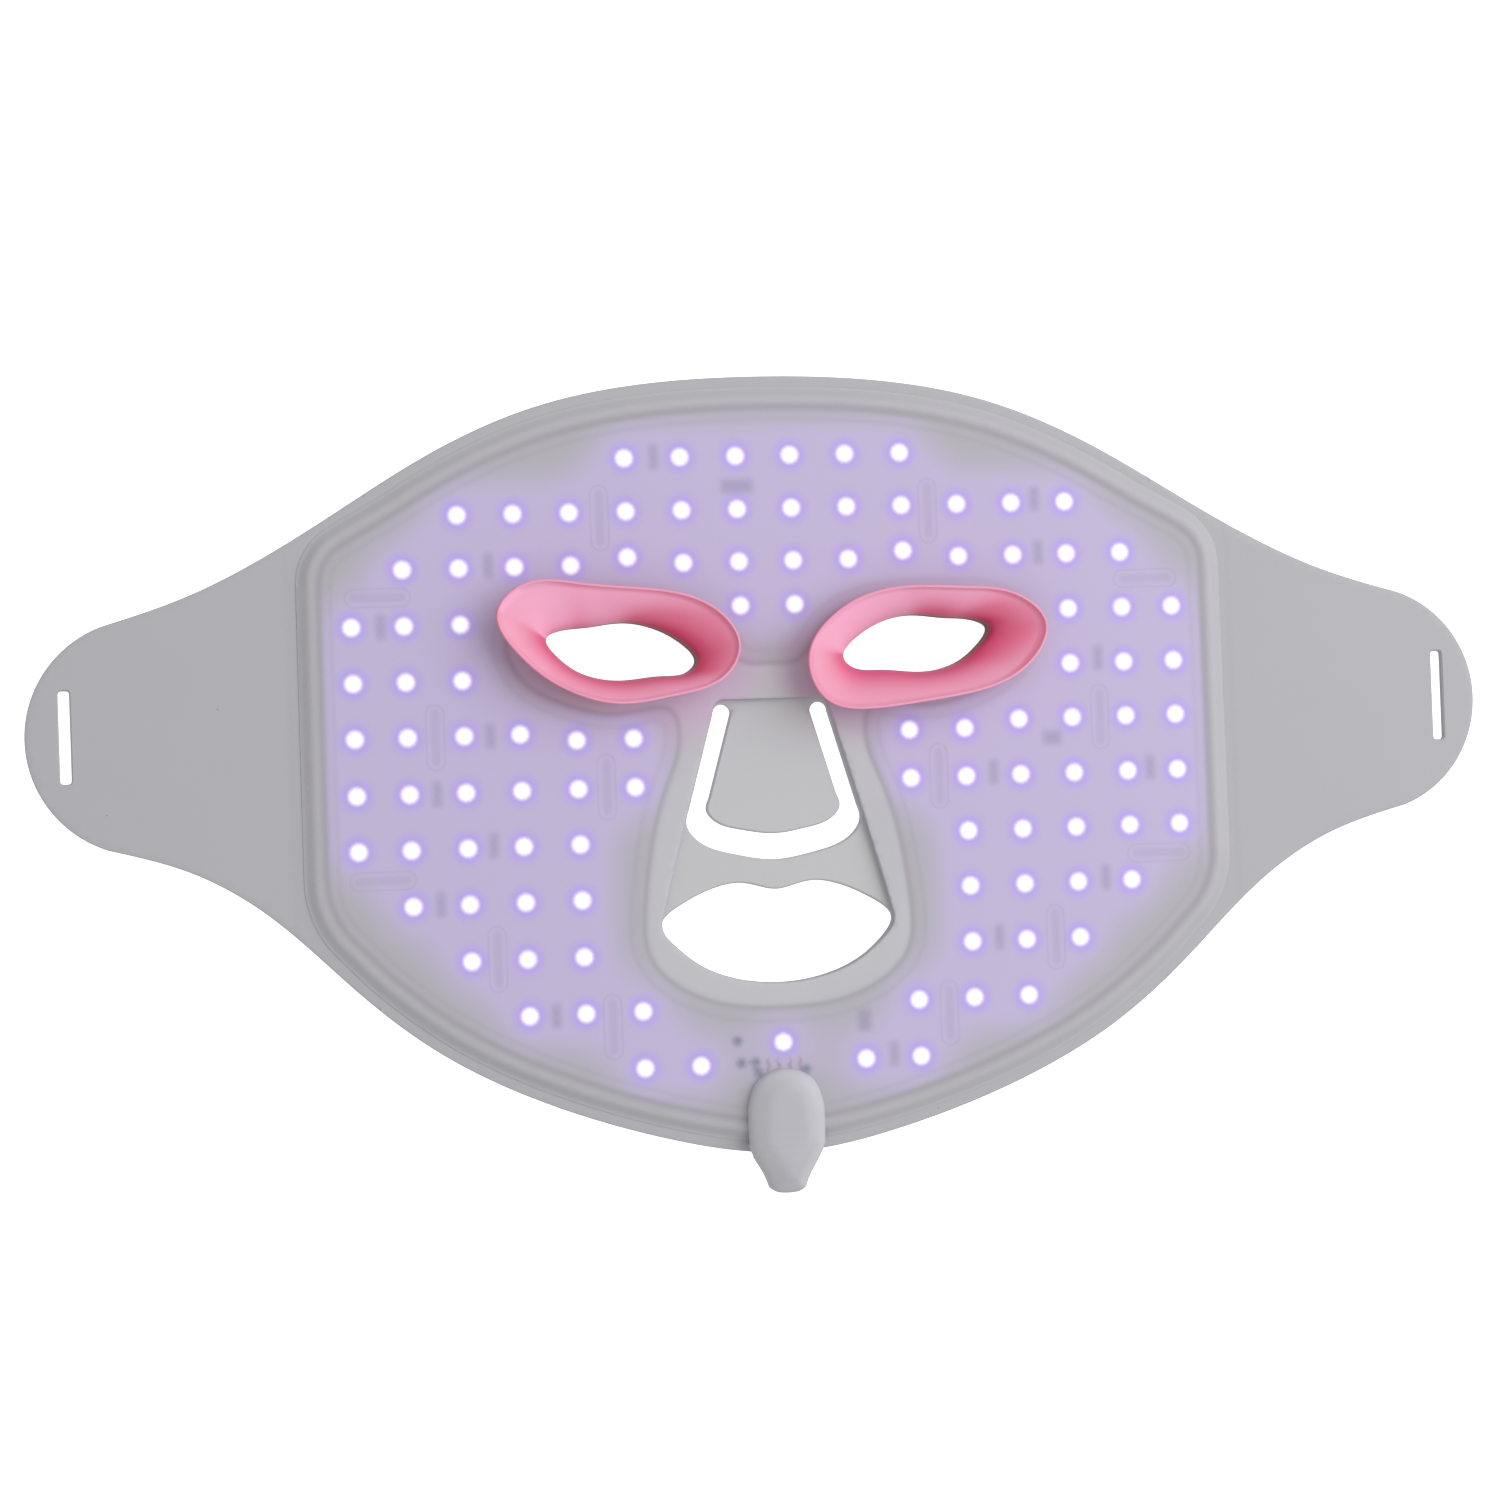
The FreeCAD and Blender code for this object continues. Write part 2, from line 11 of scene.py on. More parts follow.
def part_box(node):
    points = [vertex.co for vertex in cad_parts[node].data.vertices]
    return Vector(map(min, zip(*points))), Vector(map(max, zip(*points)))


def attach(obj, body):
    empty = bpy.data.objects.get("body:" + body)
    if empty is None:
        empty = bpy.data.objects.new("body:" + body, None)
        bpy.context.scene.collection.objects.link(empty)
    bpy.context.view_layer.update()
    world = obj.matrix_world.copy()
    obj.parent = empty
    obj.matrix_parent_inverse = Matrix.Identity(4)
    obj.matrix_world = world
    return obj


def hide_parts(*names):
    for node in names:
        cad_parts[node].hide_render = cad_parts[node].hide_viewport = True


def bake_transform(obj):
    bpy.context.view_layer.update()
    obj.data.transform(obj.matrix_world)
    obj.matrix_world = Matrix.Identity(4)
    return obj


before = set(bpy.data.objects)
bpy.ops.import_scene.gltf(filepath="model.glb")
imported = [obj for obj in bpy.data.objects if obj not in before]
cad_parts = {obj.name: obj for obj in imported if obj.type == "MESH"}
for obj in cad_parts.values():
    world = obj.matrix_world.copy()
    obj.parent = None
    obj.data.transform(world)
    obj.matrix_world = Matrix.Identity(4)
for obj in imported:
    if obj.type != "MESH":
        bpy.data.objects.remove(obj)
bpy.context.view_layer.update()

MM = 0.001

# Levels of the layers, in millimetres above the outer face.
SHEET_TOP = 2.0
POCKET_TOP = 3.3
COVER_TOP = 4.2
BOOT_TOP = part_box("cord_boot")[1][2] / MM
CUP_RIM = 14.0

# The lines of the cover, as distances from its own edge, and how far that edge rounds down.
FLANGE = 2.8
COVER_ROUND = 3.4
COVER_DROP = 2.0
POCKET_LINE = 5.6
FAINT_LINE = 8.6
LIP_ROUND = 0.35
GROOVE_WIDTH = 0.9
GROOVE_DEPTH = 0.12
FAINT_WIDTH = 0.8
FAINT_DEPTH = 0.03
RELIEF_WIDTH = 1.3
RELIEF_DEPTH = 0.05
SHEET_ROUND = 0.45
STRAP_SLOT_ROUND = 0.4

# Folds: where each starts and ends.
WING_FOLD = (122.0, 129.5)
FLAP_FOLD = (21.9, 17.4)
SHEET_END = 103.0

# Outlines of the right half, from the middle outwards. The left half mirrors them.
BROW_EDGE = [(0, 105.6), (30, 104.2), (60, 98.3), (90, 85.0), (110, 72.9), (130, 61.1),
             (150, 51.7), (170, 45.28)]
CHIN_EDGE = [(0, -95.2), (30, -90.5), (60, -80.5), (90, -64.7), (110, -48.2), (130, -29.6),
             (150, -17.5), (170, -11.28)]
WING_TIP = (160.0, 17.0, 30.0)
BROW_CORNER = (104, 54, 17, 60)
CHIN_CORNER = (93.3, -21, 28, -47)
MOUTH = [(0, -27.3), (4.5, -26.4), (9.5, -25.4), (16, -26.4), (25, -30.5), (30.2, -35.6),
         (27.5, -40.5), (20, -46.5), (10, -50.2), (0, -51.3)]
LIP = [(30.3, -34.6), (30.2, -36.6), (27.5, -40.5), (20, -46.5), (10, -50.2), (0, -51.3)]
ISLAND = [(0, 31), (7, 31.5), (13, 39), (22, 45.5), (35, 48), (50, 48), (62, 45.5), (67.5, 40),
          (66, 31), (52, 21.6), (38, 19.4), (26, 19.4), (24.3, 12), (28, 0), (34.5, -30),
          (33.5, -44), (24, -53), (0, -57.7)]
EYE = [(19.3, 31.6), (22.8, 37.0), (29.0, 40.6), (37.5, 42.5), (47.0, 41.6), (54.8, 40.7),
       (57.8, 39.0), (55.3, 34.3), (49.0, 29.7), (39.0, 27.7), (29.0, 28.5), (20.6, 30.0)]
CUP_RIMS = {
    "left": [(8.9, 35.5), (13.6, 44.1), (22, 48.8), (36.2, 51.2), (50, 52.7), (64.5, 52.6),
             (71.3, 45.5), (66.5, 35), (55, 25.7), (41, 21.4), (26.3, 23), (12.5, 28)],
    "right": [(8.5, 32.5), (14, 41.6), (24, 47.6), (36, 49.7), (50, 49.2), (63.5, 47.1),
              (71.6, 39), (67.5, 29.5), (54.5, 22.3), (40.5, 19.9), (25, 18.2), (13, 20.6)],
}
SLOT_FOOT = [(22.0, -6.0), (22.8, -9.6), (20.9, -13.2), (10.4, -17.9), (0, -19.5)]
FLAP_FOOT = [(16.7, -3.2), (17.5, -6.2), (15.8, -8.9), (8.5, -11.7), (0, -12.9)]
# The nose slot's outer and inner side at its upper end, and the height where that end rounds off.
SLOT_OUTER = 15.0
SLOT_INNER = 10.4
SLOT_END = 18.5
# How far the skins' hole stays outside an eye opening, and the cup's foot outside it.
EYE_ROOM = 1.9
EYE_FOOT_ROOM = 6.0
# Middle, width and height of a strap slot, then the middle and the direction of each relief slot.
STRAP_SLOT = (180.0, 17.5, 2.8, 23.5)
STRAP_SLOT_CORNER = 0.7
RELIEF_SLOTS = [(43, 69.5, True), (87, 14.5, True), (43.5, 0.5, True), (73, -42.5, True),
                (44, -61, True), (100.5, 50.5, False), (101.5, -21.5, False)]
RELIEF_REACH = 6.1


# Outlines.

# Points worked out between two given ones, given ones repeated round a closed curve, and the
# distance under which two points are one.
FINE = 40
WRAP = 4
SAME_PLACE = 0.05
# Where the cover's edge leaves its long curves for a corner, and the upper corner of the lip.
CORNER_ROOM = 6
LIP_TOP = 12.6
LIP_CORNER = 2.6


def mirrored(points):
    """Points moved to the other half."""
    return [(-x, y) for x, y in points]


def both_halves(points):
    """Right-half points, listed from x = 0 outwards, as one row from left to right."""
    return mirrored(points[:0:-1]) + list(points)


def ring(points):
    """Right-half points from the top centre to the bottom centre, as one closed round."""
    return list(points) + mirrored(points[-2:0:-1])


def second_slopes(knots, values):
    """Second derivatives of the natural cubic spline through the values."""
    count = len(knots)
    gaps = np.diff(knots)
    system = np.eye(count)
    target = np.zeros((count, values.shape[1]))
    steps = np.diff(values, axis=0) / gaps[:, None]
    for row in range(1, count - 1):
        system[row, row - 1:row + 2] = (gaps[row - 1], 2 * (gaps[row - 1] + gaps[row]), gaps[row])
        target[row] = 6 * (steps[row] - steps[row - 1])
    return np.linalg.solve(system, target)


def spline(points, shares):
    """The smooth curve through the points: each share counts points from the first one."""
    values = np.array(points, float)
    gaps = np.linalg.norm(np.diff(values, axis=0), axis=1)
    knots = np.concatenate([[0], np.cumsum(gaps)])
    pull = second_slopes(knots, values)
    start = np.clip(np.floor(shares).astype(int), 0, len(gaps) - 1)
    part = (np.asarray(shares) - start)[:, None]
    gap = gaps[start][:, None]
    rest = 1 - part
    curve = rest * values[start] + part * values[start + 1]
    sag = (rest ** 3 - rest) * pull[start] + (part ** 3 - part) * pull[start + 1]
    return curve + sag * gap ** 2 / 6


def even(points, step):
    """Points of a dense row, thinned to equal steps."""
    row = np.asarray(points, float)
    along = np.concatenate([[0], np.cumsum(np.linalg.norm(np.diff(row, axis=0), axis=1))])
    count = max(2, int(round(along[-1] / step)) + 1)
    marks = np.linspace(0, along[-1], count)
    return np.stack([np.interp(marks, along, row[:, axis]) for axis in (0, 1)], axis=1)


def open_curve(points, step=1.0):
    """The smooth curve through the points, in equal steps."""
    shares = np.linspace(0, len(points) - 1, FINE * (len(points) - 1) + 1)
    return even(spline(points, shares), step)


def closed_shares(points, shares):
    """Points on the smooth closed curve, at shares that count its points from the first one."""
    count = len(points)
    wrapped = list(points[-WRAP:]) + list(points) + list(points[:WRAP + 1])
    return spline(wrapped, np.asarray(shares) % count + WRAP)


def closed_curve(points, step=1.0):
    """The smooth closed curve through the points, in equal steps."""
    shares = np.linspace(0, len(points), FINE * len(points) + 1)
    dense = closed_shares(points, shares[:-1])
    return even(np.vstack([dense, dense[:1]]), step)[:-1]


def arc(x, y, radius, first, last, step=1.0):
    """Points on an arc, between two angles in degrees."""
    count = max(3, int(abs(math.radians(last - first)) * radius / step) + 1)
    turns = np.radians(np.linspace(first, last, count))
    return np.stack([x + radius * np.cos(turns), y + radius * np.sin(turns)], axis=1)


def offset(row, shift, closed=False):
    """A dense row moved to the left of its direction."""
    row = np.asarray(row, float)
    if closed:
        ahead, behind = np.roll(row, -1, axis=0), np.roll(row, 1, axis=0)
    else:
        ahead, behind = np.vstack([row[1:], row[-1:]]), np.vstack([row[:1], row[:-1]])
    along = ahead - behind
    along /= np.linalg.norm(along, axis=1)[:, None]
    return row + shift * np.stack([-along[:, 1], along[:, 0]], axis=1)


def right_half(row):
    """The points of a row from the middle line outwards, with its inner end on the line."""
    kept = row[row[:, 0] >= -1e-9]
    middle = 0 if abs(kept[0, 0]) < abs(kept[-1, 0]) else -1
    kept[middle, 0] = 0
    return kept


def join(*rows):
    """One row from several, without the points that repeat."""
    whole = np.vstack([np.asarray(row, float).reshape(-1, 2) for row in rows])
    keep = [0]
    for number in range(1, len(whole)):
        if np.linalg.norm(whole[number] - whole[keep[-1]]) > SAME_PLACE:
            keep.append(number)
    if np.linalg.norm(whole[keep[0]] - whole[keep[-1]]) <= SAME_PLACE:
        keep.pop()
    return whole[keep]


def cover_edge():
    """The cover's edge, right half, from the top of the middle clockwise to its foot."""
    brow = right_half(offset(open_curve(both_halves(BROW_EDGE)), -FLANGE))
    chin = right_half(offset(open_curve(both_halves(CHIN_EDGE)), FLANGE))
    x, y, radius, angle = BROW_CORNER
    upper = arc(x, y, radius, angle, 0)
    x, y, radius, angle = CHIN_CORNER
    lower = arc(x, y, radius, 0, angle)
    brow = brow[brow[:, 0] <= upper[0, 0] - CORNER_ROOM]
    chin = chin[chin[:, 0] <= lower[-1, 0] - CORNER_ROOM]
    top_bridge = open_curve([*brow[-24::8], *upper[:9:4]])
    low_bridge = open_curve([*lower[-9::4], *chin[:-25:-8]])
    return join(brow[:-24], top_bridge, upper[8:], lower[:-9], low_bridge, chin[-25::-1])


def sheet_edge():
    """The sheets' edge, right half, from the top of the middle clockwise to its foot."""
    brow = right_half(open_curve(both_halves(BROW_EDGE)))
    chin = right_half(open_curve(both_halves(CHIN_EDGE)))
    x, y, radius = WING_TIP
    turn = math.degrees(math.asin((BROW_EDGE[-1][1] - y) / radius))
    return join(brow[:-1], arc(x, y, radius, turn, -turn), chin[::-1])


def nose_side(corner, foot):
    """One side of the nose slot, right half: straight from its top corner, then round its foot."""
    low = right_half(open_curve(foot + mirrored(foot[-2::-1]), 0.5))
    return join(even([corner, foot[0]], 0.8), low)


def lip_edge():
    """The right edge of the cover's opening over the lip, from the top to the foot."""
    top = FLAP_FOLD[0]
    round_y = top - LIP_CORNER
    corner = arc(LIP_TOP, round_y, LIP_CORNER, 90, 0, 0.5)
    side = open_curve([(LIP_TOP + LIP_CORNER, round_y), (23.2, -8.5), LIP[0]], 1.0)
    foot = right_half(open_curve(LIP + mirrored(LIP[-2::-1]), 0.8))
    return join([(0, top)], open_curve([(0, top), (LIP_TOP, top)]), corner, side, foot)


def seam(start, end, step=0.6):
    """A straight row of points on the middle line."""
    count = max(2, int(abs(end - start) / step) + 1)
    heights = np.linspace(start, end, count)
    return np.stack([np.zeros(count), heights], axis=1)


# Distances, for shapes and finishes.

def distance(places, row, closed=False):
    """How far each place is from a row of points."""
    row = np.asarray(row, float)
    ends = np.roll(row, -1, axis=0) if closed else row[1:]
    starts = row if closed else row[:-1]
    best = np.full(len(places), np.inf)
    for start, end in zip(starts, ends):
        along = end - start
        length = max(along @ along, 1e-12)
        share = np.clip((places - start) @ along / length, 0, 1)
        gap = places - start - share[:, None] * along
        best = np.minimum(best, np.einsum("ij,ij->i", gap, gap))
    return np.sqrt(best)


def inside(places, loop):
    """Which places lie inside a closed row of points."""
    loop = np.asarray(loop, float)
    odd = np.zeros(len(places), bool)
    for start, end in zip(loop, np.roll(loop, -1, axis=0)):
        crosses = (start[1] > places[:, 1]) != (end[1] > places[:, 1])
        rise = end[1] - start[1]
        reach = (end[0] - start[0]) * (places[:, 1] - start[1]) / (rise if rise else 1) + start[0]
        odd ^= crosses & (places[:, 0] < reach)
    return odd


def fold_over(places):
    """Places on either half, moved to the right half."""
    return np.column_stack([np.abs(places[:, 0]), places[:, 1]])


def nearest(places, centres):
    """How far each place is from the nearest centre."""
    best = np.full(len(places), np.inf)
    for centre in centres:
        best = np.minimum(best, np.linalg.norm(places - np.asarray(centre), axis=1))
    return best


def box_distance(places, centre, wide, tall):
    """How far each place is from a small block, below zero inside it."""
    gap = np.abs(places - np.asarray(centre)) - np.array([wide / 2, tall / 2])
    outside = np.linalg.norm(np.maximum(gap, 0), axis=1)
    return outside + np.minimum(gap.max(axis=1), 0)


def bump(gap, width):
    """One where the gap is nothing, falling away on both sides."""
    return np.exp(-(gap / width) ** 2)


def quarter_round(gap, radius):
    """How far a rounded edge lies below its top, at a distance from the edge."""
    share = np.clip(1 - gap / radius, 0, 1)
    return radius * (1 - np.sqrt(1 - share ** 2))


def soft_slope(gap, width, drop):
    """How far a soft edge lies below its top, at a distance from the edge."""
    share = np.clip(gap / width, 0, 1)
    return drop * (1 - share * share * (3 - 2 * share))


# Meshes.

# Height of a grid of even triangles, and the room that inner points leave at an edge.
ROW_PITCH = 0.866
EDGE_ROOM = 0.12
BLOCK_REACH = 5


def add_field(mesh, name, values):
    """A named value at each vertex, for the finish."""
    attribute = mesh.attributes.new(name, "FLOAT", "POINT")
    attribute.data.foreach_set("value", np.asarray(values, np.float32))


def make_object(name, vertices, faces, fields):
    mesh = bpy.data.meshes.new(name)
    mesh.from_pydata([Vector(each) * MM for each in vertices], [], faces)
    mesh.validate()
    for field, values in fields.items():
        add_field(mesh, field, values)
    piece = bpy.data.objects.new(name, mesh)
    bpy.context.scene.collection.objects.link(piece)
    return piece


def smooth(piece, degrees=40):
    piece.data.shade_smooth()
    piece.data.set_sharp_from_angle(angle=math.radians(degrees))


def within(places, loops):
    """Which places lie inside the first loop and outside the others."""
    keep = inside(places, loops[0])
    for hole in loops[1:]:
        keep &= ~inside(places, hole)
    return keep


def crowd(loops, extra, spacing):
    """Grid points within the loops, clear of the rows given."""
    low, high = loops[0].min(axis=0), loops[0].max(axis=0)
    columns = np.arange(low[0] + spacing / 2, high[0], spacing)
    rows = np.arange(low[1] + spacing / 2, high[1], spacing * ROW_PITCH)
    grid = np.array([(x + (number % 2) * spacing / 2, y)
                     for number, y in enumerate(rows) for x in columns])
    grid = grid[within(grid, loops)]
    for loop in loops:
        grid = grid[distance(grid, loop, True) > spacing * 0.6]
    for row, room in extra:
        grid = grid[nearest(grid, row) > room]
    return grid


def fill(loops, extra, spacing):
    """Places and triangles, all turned one way, that fill the space within the loops."""
    points, edges = [], []
    for loop in loops:
        first = len(points)
        points += [Vector(each) for each in loop]
        edges += [(first + n, first + (n + 1) % len(loop)) for n in range(len(loop))]
    for row, _ in extra:
        kept = within(row, loops)
        for loop in loops:
            kept &= distance(row, loop, True) > EDGE_ROOM
        points += [Vector(each) for each in row[kept]]
    points += [Vector(each) for each in crowd(loops, extra, spacing)]
    out = delaunay_2d_cdt(points, edges, [], 0, 1e-6)
    flat = np.array([tuple(each) for each in out[0]])
    triangles = np.array(out[2])
    triangles = triangles[within(flat[triangles].mean(axis=1), loops)]
    corners = flat[triangles]
    first, second = corners[:, 1] - corners[:, 0], corners[:, 2] - corners[:, 0]
    turned = first[:, 0] * second[:, 1] - first[:, 1] * second[:, 0] < 0
    triangles[turned] = triangles[turned][:, ::-1]
    used = np.unique(triangles)
    renumber = np.full(len(flat), -1)
    renumber[used] = np.arange(len(used))
    return flat[used], renumber[triangles]


def plate(name, loops, extra, top, bottom, fields, spacing=1.3, flip=False):
    """A closed flat piece. The first loop is its edge and the others are its holes.

    Extra is a list of rows of points that the surface keeps, each with the room around it.
    Top and bottom give heights, and fields gives named values for the finish, from places."""
    flat, triangles = fill(loops, extra, spacing)
    count = len(flat)
    sides = [pair for a, b, c in triangles.tolist() for pair in ((a, b), (b, c), (c, a))]
    known = set(sides)
    rim = [(a, b) for a, b in sides if (b, a) not in known]
    faces = triangles.tolist() + (triangles[:, ::-1] + count).tolist()
    faces += [(b, a, a + count, b + count) for a, b in rim]
    if flip:
        flat = flat * np.array([-1, 1])
        faces = [face[::-1] for face in faces]
    upper = np.column_stack([flat, top(flat)])
    lower = np.column_stack([flat, bottom(flat)])
    values = {field: np.tile(each, 2) for field, each in fields(flat).items()}
    piece = make_object(name, np.vstack([upper, lower]), faces, values)
    smooth(piece)
    return piece


# The hidden parts, from the frame.

def block_centres(node):
    """Plan centres of the separate blocks in a CAD node."""
    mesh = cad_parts[node].data
    places = np.array([each.co[:2] for each in mesh.vertices]) / MM
    found = []
    for place in places:
        for group in found:
            if np.abs(group[0] - place).max() < BLOCK_REACH:
                group.append(place)
                break
        else:
            found.append([place])
    return [(np.min(group, axis=0) + np.max(group, axis=0)) / 2 for group in found]


def whole_centre(node):
    low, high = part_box(node)
    return np.array([(low[0] + high[0]) / 2, (low[1] + high[1]) / 2]) / MM


def centres_on_both_sides(*kinds):
    return [centre for word in ("left", "right") for kind in kinds
            for centre in block_centres(f"{word}_{kind}")]


LAMPS = centres_on_both_sides(*(f"lamps_{column}" for column in range(1, 9)))
LAMPS.append(whole_centre("chin_lamp"))
RESISTORS = centres_on_both_sides("resistors", "side_resistors")
RESISTOR_SIZE = (0.9, 4.8)
CHIP_SIZES = {"forehead_chip": (7.0, 2.2), "driver_chip": (3.6, 2.2), "chin_diode": (2.0, 4.0)}
WIRE_NODES = ("ground_wire", "red_light_wire", "near_infrared_wire", "sense_wire")
WIRE_FAN = 2.8
WIRE_SHOWS = (1.2, -2.0)
SOLDER_SPOTS = [(-12.0, -66.0), (-11.2, -71.7), (-7.5, -71.7), (-6.8, -74.2), (5.6, -74.0)]
GLOW_REACH = 11.0

COVER_EDGE = cover_edge()
EYE_FOOT = offset(closed_curve(EYE), EYE_FOOT_ROOM, True)
ISLAND_LINE = closed_curve(ring(ISLAND))
LIP_EDGE = lip_edge()


# The cover and the sheets.

def slot_distance(places):
    """How far each place is from the spine of the nearest relief slot."""
    best = np.full(len(places), np.inf)
    for x, y, upright in RELIEF_SLOTS:
        reach = (0, RELIEF_REACH) if upright else (RELIEF_REACH, 0)
        spine = [(x - reach[0], y - reach[1]), (x + reach[0], y + reach[1])]
        best = np.minimum(best, distance(places, spine))
    return best


def cover_fields(flat):
    """What the cover's finish depends on, as distances in millimetres."""
    folded = fold_over(flat)
    glow = np.zeros(len(flat))
    for centre in LAMPS:
        glow += bump(np.linalg.norm(flat - centre, axis=1), GLOW_REACH)
    blocks = [(centre, RESISTOR_SIZE) for centre in RESISTORS]
    blocks += [(whole_centre(node), size) for node, size in CHIP_SIZES.items()]
    buried = np.full(len(flat), np.inf)
    for centre, size in blocks:
        buried = np.minimum(buried, box_distance(flat, centre, *size))
    pad_y = whole_centre("solder_pads")[1]
    wires = np.full(len(flat), np.inf)
    for node in WIRE_NODES:
        x = whole_centre(node)[0] * WIRE_FAN
        wires = np.minimum(wires, distance(flat, [(x, pad_y + end) for end in WIRE_SHOWS]))
    sign = np.where(inside(folded, ISLAND_LINE), -1, 1)
    return {
        "from_edge": distance(folded, COVER_EDGE),
        "from_island": distance(folded, ISLAND_LINE, True) * sign,
        "from_slot": slot_distance(folded),
        "from_lip": distance(folded, LIP_EDGE),
        "from_lamp": nearest(flat, LAMPS),
        "from_part": buried,
        "from_joint": nearest(flat, SOLDER_SPOTS),
        "from_wire": wires,
        "from_cup": distance(folded, EYE_FOOT, True),
        "glow": glow,
    }


def cover_top(flat):
    folded = fold_over(flat)
    edge = distance(folded, COVER_EDGE)
    lip = distance(folded, LIP_EDGE)
    island = distance(folded, ISLAND_LINE, True)
    height = COVER_TOP - soft_slope(edge, COVER_ROUND, COVER_DROP) - quarter_round(lip, LIP_ROUND)
    height -= GROOVE_DEPTH * bump(edge - POCKET_LINE, GROOVE_WIDTH)
    height -= FAINT_DEPTH * bump(edge - FAINT_LINE, FAINT_WIDTH)
    height -= GROOVE_DEPTH * bump(island, GROOVE_WIDTH)
    height -= RELIEF_DEPTH * bump(slot_distance(folded), RELIEF_WIDTH)
    return height


def cover_bottom(flat):
    folded = fold_over(flat)
    roofed = distance(folded, COVER_EDGE) > POCKET_LINE
    roofed &= ~inside(folded, ISLAND_LINE)
    return np.where(roofed, POCKET_TOP, SHEET_TOP)


def rows_along(line, gaps, room, closed=False):
    """Rows of points beside a line, each with the room around it."""
    return [(offset(line, gap, closed), room) for gap in gaps]


def eye_hole():
    return offset(closed_curve(EYE), EYE_ROOM, True)


GROOVE_ROWS = np.array([-1.3, -0.65, 0, 0.65, 1.3])
ROUND_ROWS = (-0.4, -0.9, -1.5, -2.2, -3.0)
THIN_ROWS = (-0.15, -0.5)
THIN_MIDDLE = (-12, 36, 4)


def make_cover(word, flip):
    foot = LIP_EDGE[-1][1]
    edge = join(COVER_EDGE, seam(COVER_EDGE[-1][1], foot), LIP_EDGE[::-1],
                seam(LIP_EDGE[0][1], COVER_EDGE[0][1]))
    extra = rows_along(COVER_EDGE, ROUND_ROWS, 0.5)
    extra += rows_along(COVER_EDGE, GROOVE_ROWS - POCKET_LINE, 0.6)
    extra += rows_along(ISLAND_LINE, GROOVE_ROWS, 0.6, True)
    extra += rows_along(LIP_EDGE, (EDGE_ROOM, 0.4), 0.4)
    steps = np.linspace(-RELIEF_REACH, RELIEF_REACH, 15)
    still = np.zeros(len(steps))
    for x, y, upright in RELIEF_SLOTS:
        spine = (still, steps) if upright else (steps, still)
        extra.append((np.array([x, y]) + np.stack(spine, axis=1), 0.7))
    extra.append((np.array([(abs(x), y) for x, y in LAMPS]), 0.6))
    return plate(f"{word}_cover_skin", [edge, eye_hole()], extra, cover_top, cover_bottom,
                 cover_fields, flip=flip)


def sheet_fields(flat):
    """Distances from the wing's fold, and from the thin middle round nose and mouth."""
    x, y = np.abs(flat[:, 0]), flat[:, 1]
    middle, reach, steep = THIN_MIDDLE
    return {
        "from_fold": np.abs(x - (WING_FOLD[0] + 1.5)),
        "from_middle": x + steep * np.maximum(np.abs(y - middle) - reach, 0),
    }


def rounded_top(edges):
    """Heights of a sheet that rounds down at its edges: rows of points, each with its radius."""
    def top(flat):
        folded = fold_over(flat)
        drop = np.zeros(len(flat))
        for row, radius, closed in edges:
            drop = np.maximum(drop, quarter_round(distance(folded, row, closed), radius))
        return SHEET_TOP - drop
    return top


def flat_bottom(flat):
    return np.zeros(len(flat))


def wing_seam(outline):
    """Where the edge crosses the seam between sheet and wing: its upper and its lower height."""
    half = len(outline) // 2
    upper, lower = outline[:half], outline[half:][::-1]
    return [np.interp(SHEET_END, row[:, 0], row[:, 1]) for row in (upper, lower)]


def make_sheet(word, flip):
    outline = sheet_edge()
    inner = outline[outline[:, 0] < SHEET_END - 0.3]
    split = np.argmax(inner[:, 1] < 0)
    brow, chin = inner[:split], inner[split:]
    upper_end, lower_end = wing_seam(outline)
    end = even([(SHEET_END, upper_end), (SHEET_END, lower_end)], 1.5)
    mouth = even(closed_shares(ring(MOUTH), np.linspace(len(MOUTH) - 1, 0, 400)), 0.8)
    slot = nose_side((SLOT_OUTER, SLOT_END), SLOT_FOOT)
    top = FLAP_FOLD[0]
    loop = join(brow, end, chin, seam(chin[-1][1], mouth[0][1]), mouth,
                seam(mouth[-1][1], slot[-1][1]), slot[::-1], [(SLOT_OUTER, top)],
                even([(SLOT_OUTER, top), (0, top)], 1.0), seam(top, brow[0][1]))
    extra = rows_along(brow, THIN_ROWS, 0.4) + rows_along(chin, THIN_ROWS, 0.4)
    extra += rows_along(mouth, (-0.4,), 0.4) + rows_along(slot, (0.4,), 0.4)
    height = rounded_top([(row, SHEET_ROUND, False) for row in (brow, chin, mouth, slot)])
    return plate(f"{word}_sheet_skin", [loop, eye_hole()], extra, height, flat_bottom,
                 sheet_fields, spacing=2.2, flip=flip)


def rounded_box(x, y, wide, tall, radius):
    """The outline of a box with round corners, clockwise."""
    corners = [(1, 1, 90, 0), (1, -1, 0, -90), (-1, -1, -90, -180), (-1, 1, 180, 90)]
    rows = []
    for across, up, first, last in corners:
        centre = (x + across * (wide / 2 - radius), y + up * (tall / 2 - radius))
        rows.append(arc(*centre, radius, first, last, 0.25))
    return even(np.vstack(rows + [rows[0][:1]]), 0.6)[:-1]


